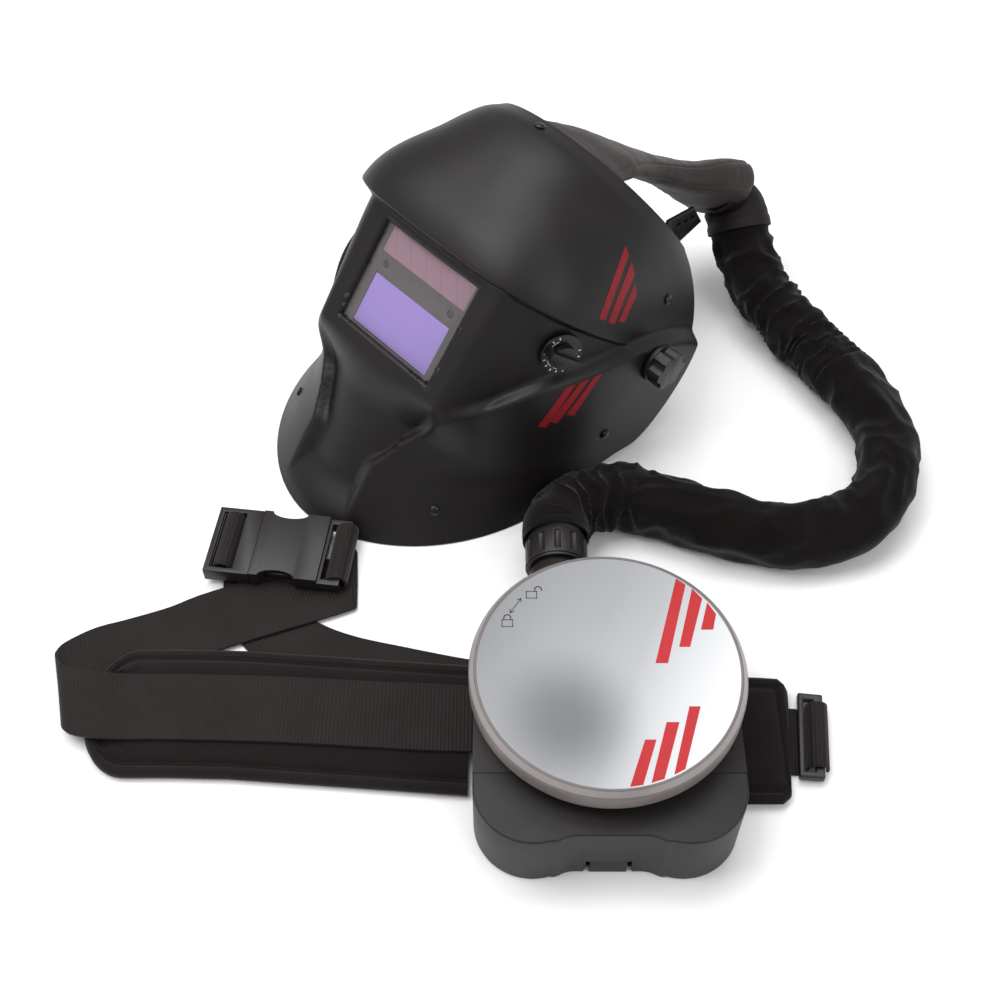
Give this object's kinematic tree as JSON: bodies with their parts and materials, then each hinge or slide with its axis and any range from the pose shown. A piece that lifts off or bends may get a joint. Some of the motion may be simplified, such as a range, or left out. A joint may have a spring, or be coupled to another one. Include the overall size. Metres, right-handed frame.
{
  "type": "powered air respirator",
  "caption": "Belt-worn blower with a round filter cover and slide-in battery, feeding filtered air by a sleeved hose and head duct to an auto-darkening welding helmet.",
  "frame": {"origin": "centre of the blower's back face, on the surface it lies on", "axes": "+Z out of the blower's back face through its filter cover, +Y along the outlet towards the hose, +X towards the belt's short end"},
  "size_m": [0.6397, 0.5887, 0.235],
  "materials": {
    "housing_black": "satin moulded",
    "housing_battery": "satin moulded",
    "cover_grey": "fine textured",
    "label_silver": "satin printed foil",
    "steel_mesh": "woven mesh",
    "filter_paper": "pleated paper",
    "seal_rubber": "matte",
    "seal_orange": "matte",
    "fan_plastic": "moulded",
    "shaft_steel": "ground",
    "motor_steel": "satin",
    "board_green": "solder resist",
    "button_grey": "matte",
    "cell_blue": "shrink sleeve",
    "contact_brass": "plated",
    "screw_steel": "zinc",
    "spigot_black": "moulded",
    "collar_black": "satin moulded",
    "hose_grey": "corrugated",
    "sleeve_fabric": "black twill",
    "duct_brown": "matte soft",
    "headgear_plastic": "moulded",
    "sweat_cloth": "terry",
    "bolt_metal": "turned",
    "knob_black": "satin moulded",
    "shell_black": "fine textured",
    "rivet_black": "smooth",
    "lens_clear": "polished",
    "case_taupe": "smooth",
    "glass_violet": "coated",
    "solar_mauve": "cell",
    "sensor_dark": "smooth",
    "dial_black": "satin",
    "seal_cloth": "woven",
    "pad_fabric": "padded nylon",
    "webbing_nylon": "ribbed",
    "buckle_plastic": "satin"
  },
  "bodies": {
    "blower_and_headgear": {"rear_housing": "housing_black", "front_housing": "housing_black", "spark_arrestor": "steel_mesh", "particle_filter": "filter_paper", "filter_gasket": "seal_rubber", "fan_scroll": "fan_plastic", "motor": "motor_steel", "circuit_board": "board_green", "housing_screws": "screw_steel", "outlet_spigot": "spigot_black", "outlet_seal": "seal_orange", "hose_cuff": "seal_rubber", "breathing_hose": "hose_grey", "hose_sleeve": "sleeve_fabric", "duct_elbow": "duct_brown", "head_duct": "duct_brown", "duct_strap": "headgear_plastic", "headband": "headgear_plastic", "crown_band": "headgear_plastic", "sweatband": "sweat_cloth", "ratchet_housing": "headgear_plastic", "side_bracket_left": "headgear_plastic", "side_bracket_right": "headgear_plastic", "pivot_bolts": "bolt_metal", "belt_pad_left": "pad_fabric", "belt_pad_right": "pad_fabric", "belt_webbing_left": "webbing_nylon", "belt_webbing_right": "webbing_nylon", "belt_slider": "buckle_plastic", "buckle_socket": "buckle_plastic", "buckle_plug": "buckle_plastic"},
    "cover": {"filter_cover": "cover_grey", "cover_label": "label_silver"},
    "fan": {"fan_impeller": "fan_plastic", "motor_shaft": "shaft_steel"},
    "battery": {"battery_case": "housing_battery", "battery_cells": "cell_blue", "battery_contacts": "contact_brass"},
    "latch": {"battery_latch": "housing_battery"},
    "power_switch": {"power_button": "button_grey"},
    "collar": {"hose_collar": "collar_black"},
    "ratchet": {"ratchet_knob": "knob_black"},
    "shell": {"helmet_shell": "shell_black", "shell_rivets": "rivet_black", "cover_lens": "lens_clear", "filter_case": "case_taupe", "filter_glass": "glass_violet", "solar_cell": "solar_mauve", "light_sensors": "sensor_dark", "cartridge_holder": "shell_black", "inner_lens": "lens_clear", "control_box": "knob_black", "dial_bezel": "dial_black", "face_seal": "seal_cloth"},
    "shade_dial": {"shade_knob": "dial_black"},
    "knob_left": {"pivot_knob_left": "knob_black"},
    "knob_right": {"pivot_knob_right": "knob_black"},
    "buckle_left": {"buckle_arm_left": "buckle_plastic"},
    "buckle_right": {"buckle_arm_right": "buckle_plastic"}
  },
  "joints": [
    {"name": "shell_tilt", "type": "hinge", "parent": "blower_and_headgear", "child": "shell", "pos_m": [-0.038, 0.357, 0.0865], "axis": [-0.682, 0.7314, 0], "range_deg": [0, 50]},
    {"name": "pivot_knob_left_turn", "type": "hinge", "parent": "blower_and_headgear", "child": "knob_left", "pos_m": [0.05407, 0.25827, 0.0865], "axis": [0.682, -0.7314, 0], "range_deg": [-120, 120]},
    {"name": "pivot_knob_right_turn", "type": "hinge", "parent": "blower_and_headgear", "child": "knob_right", "pos_m": [-0.13007, 0.45573, 0.0865], "axis": [-0.682, 0.7314, 0], "range_deg": [-120, 120]},
    {"name": "shade_dial_turn", "type": "hinge", "parent": "shell", "child": "shade_dial", "pos_m": [-0.0269, 0.22643, 0.13733], "axis": [0.3772, -0.9062, 0.1911], "range_deg": [-135, 135]},
    {"name": "ratchet_turn", "type": "hinge", "parent": "blower_and_headgear", "child": "ratchet", "pos_m": [0.024, 0.41481, 0.03738], "axis": [0.4701, 0.4384, -0.766], "range_deg": [-180, 180]},
    {"name": "hose_collar_turn", "type": "hinge", "parent": "blower_and_headgear", "child": "collar", "pos_m": [-0.028, 0.125, 0.03], "axis": [0, 1, 0], "continuous": true},
    {"name": "filter_cover_turn", "type": "hinge", "parent": "blower_and_headgear", "child": "cover", "pos_m": [0, 0, 0.08], "axis": [0, 0, 1], "range_deg": [0, 30]},
    {"name": "fan_spin", "type": "hinge", "parent": "blower_and_headgear", "child": "fan", "pos_m": [0, 0, 0.02], "axis": [0, 0, 1], "continuous": true},
    {"name": "battery_slide", "type": "slide", "parent": "blower_and_headgear", "child": "battery", "axis": [0, -1, 0], "range_m": [0, 0.062]},
    {"name": "battery_latch_press", "type": "slide", "parent": "battery", "child": "latch", "axis": [0, 1, 0], "range_m": [0, 0.0018], "stiffness_N_per_m": 2000, "springref_m": -0.001},
    {"name": "power_press", "type": "slide", "parent": "blower_and_headgear", "child": "power_switch", "axis": [0, -1, 0], "range_m": [0, 0.0015], "stiffness_N_per_m": 2000, "springref_m": -0.001},
    {"name": "buckle_squeeze_left", "type": "hinge", "parent": "blower_and_headgear", "child": "buckle_left", "pos_m": [-0.25082, 0.13119, 0.0119], "axis": [0, 0, 1], "range_deg": [0, 6], "stiffness_Nm_per_rad": 0.8, "springref_deg": -2.86},
    {"name": "buckle_squeeze_right", "type": "hinge", "parent": "blower_and_headgear", "child": "buckle_right", "pos_m": [-0.24692, 0.16295, 0.0119], "axis": [0, 0, -1], "range_deg": [0, 6], "stiffness_Nm_per_rad": 0.8, "springref_deg": -2.86}
  ],
  "couplings": [
    {"joint": "buckle_squeeze_right", "follows": "buckle_squeeze_left", "ratio": 1}
  ]
}
